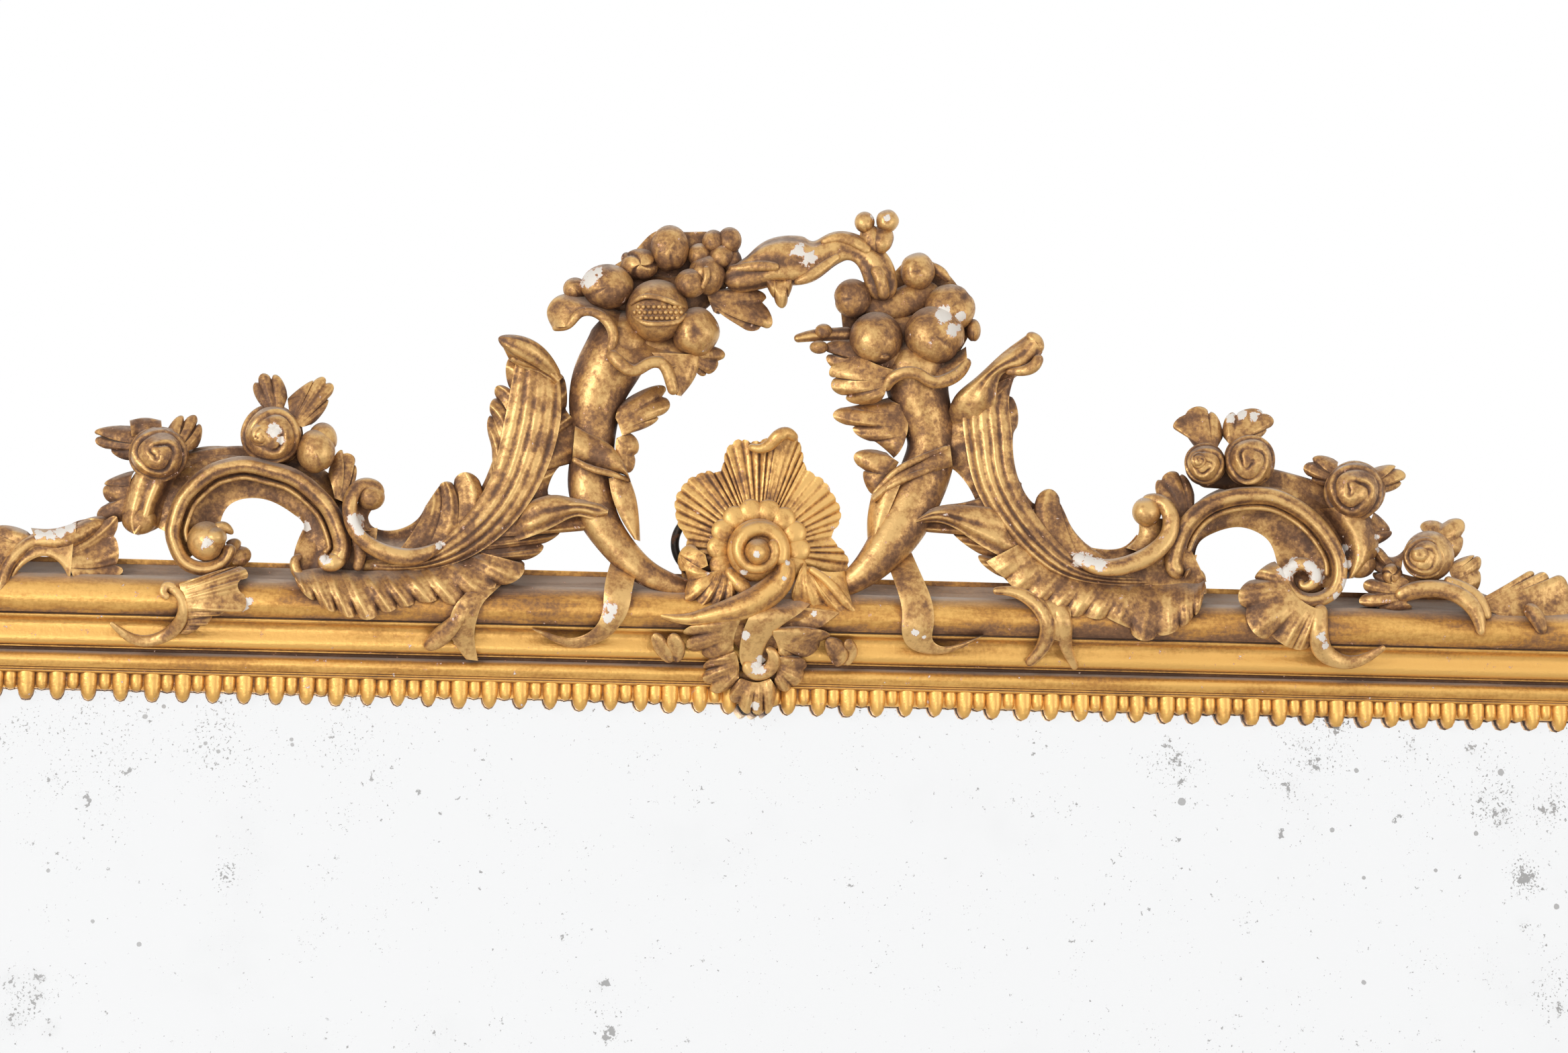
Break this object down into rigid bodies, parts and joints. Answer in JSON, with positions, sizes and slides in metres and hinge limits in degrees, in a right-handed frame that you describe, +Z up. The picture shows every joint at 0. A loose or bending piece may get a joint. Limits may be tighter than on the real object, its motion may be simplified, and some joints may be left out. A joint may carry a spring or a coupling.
{
  "type": "giltwood wall mirror",
  "caption": "Rectangular carved giltwood wall mirror with a stepped moulding, a sight edge of hanging tongues and a crest of scrolls, horns of plenty, fruit, roses and a shell.",
  "frame": {"origin": "middle of the bottom rail's back face, on the wall plane", "axes": "+Z up along the stiles, +X to the right as seen from the front, +Y back into the wall"},
  "size_m": [1.17, 0.0717, 1.713],
  "materials": {
    "softwood": "aged bare softwood, darkened by dust",
    "iron": "forged iron, dark and lightly rusted",
    "silvered_glass": "old silvering with grey foxing spots",
    "gilding": "carved wood, gesso and worn gold leaf with brown toning in the recesses"
  },
  "bodies": {
    "frame": {"bottom_rail": "softwood", "top_rail": "softwood", "left_stile": "softwood", "right_stile": "softwood", "corner_pegs": "softwood", "backboard_1": "softwood", "backboard_2": "softwood", "backboard_3": "softwood", "backboard_4": "softwood", "plate_blocks": "softwood", "crest_dowels": "softwood", "backboard_nails": "iron", "ring_staple": "iron", "mirror_plate": "silvered_glass", "moulding_top": "gilding", "moulding_bottom": "gilding", "moulding_left": "gilding", "moulding_right": "gilding", "sight_edge_top": "gilding", "sight_edge_bottom": "gilding", "sight_edge_left": "gilding", "sight_edge_right": "gilding", "c_scroll_left": "gilding", "c_scroll_right": "gilding", "horn_left": "gilding", "horn_right": "gilding", "horn_wrap_left": "gilding", "horn_wrap_right": "gilding", "horn_leaves_left": "gilding", "horn_leaves_right": "gilding", "fruit_left": "gilding", "fruit_right": "gilding", "fruit_leaves_left": "gilding", "fruit_leaves_right": "gilding", "garland_twig": "gilding", "garland_berries": "gilding", "acanthus_left": "gilding", "acanthus_right": "gilding", "s_scroll_left": "gilding", "s_scroll_right": "gilding", "acanthus_tail_left": "gilding", "acanthus_tail_right": "gilding", "shell": "gilding", "shell_leaves": "gilding", "shell_pendant": "gilding", "leaf_fall_left": "gilding", "leaf_fall_right": "gilding", "rail_ribbon_left": "gilding", "rail_ribbon_right": "gilding", "roses_left": "gilding", "roses_right": "gilding", "rose_leaves_left": "gilding", "rose_leaves_right": "gilding", "sprig_left": "gilding", "sprig_right": "gilding"},
    "ring": {"hanging_ring": "iron"}
  },
  "joints": [
    {"name": "ring_swing", "type": "hinge", "parent": "frame", "child": "ring", "pos_m": [-0.03, -0.0065, 1.473], "axis": [-1, 0, 0], "range_deg": [0, 95]}
  ]
}
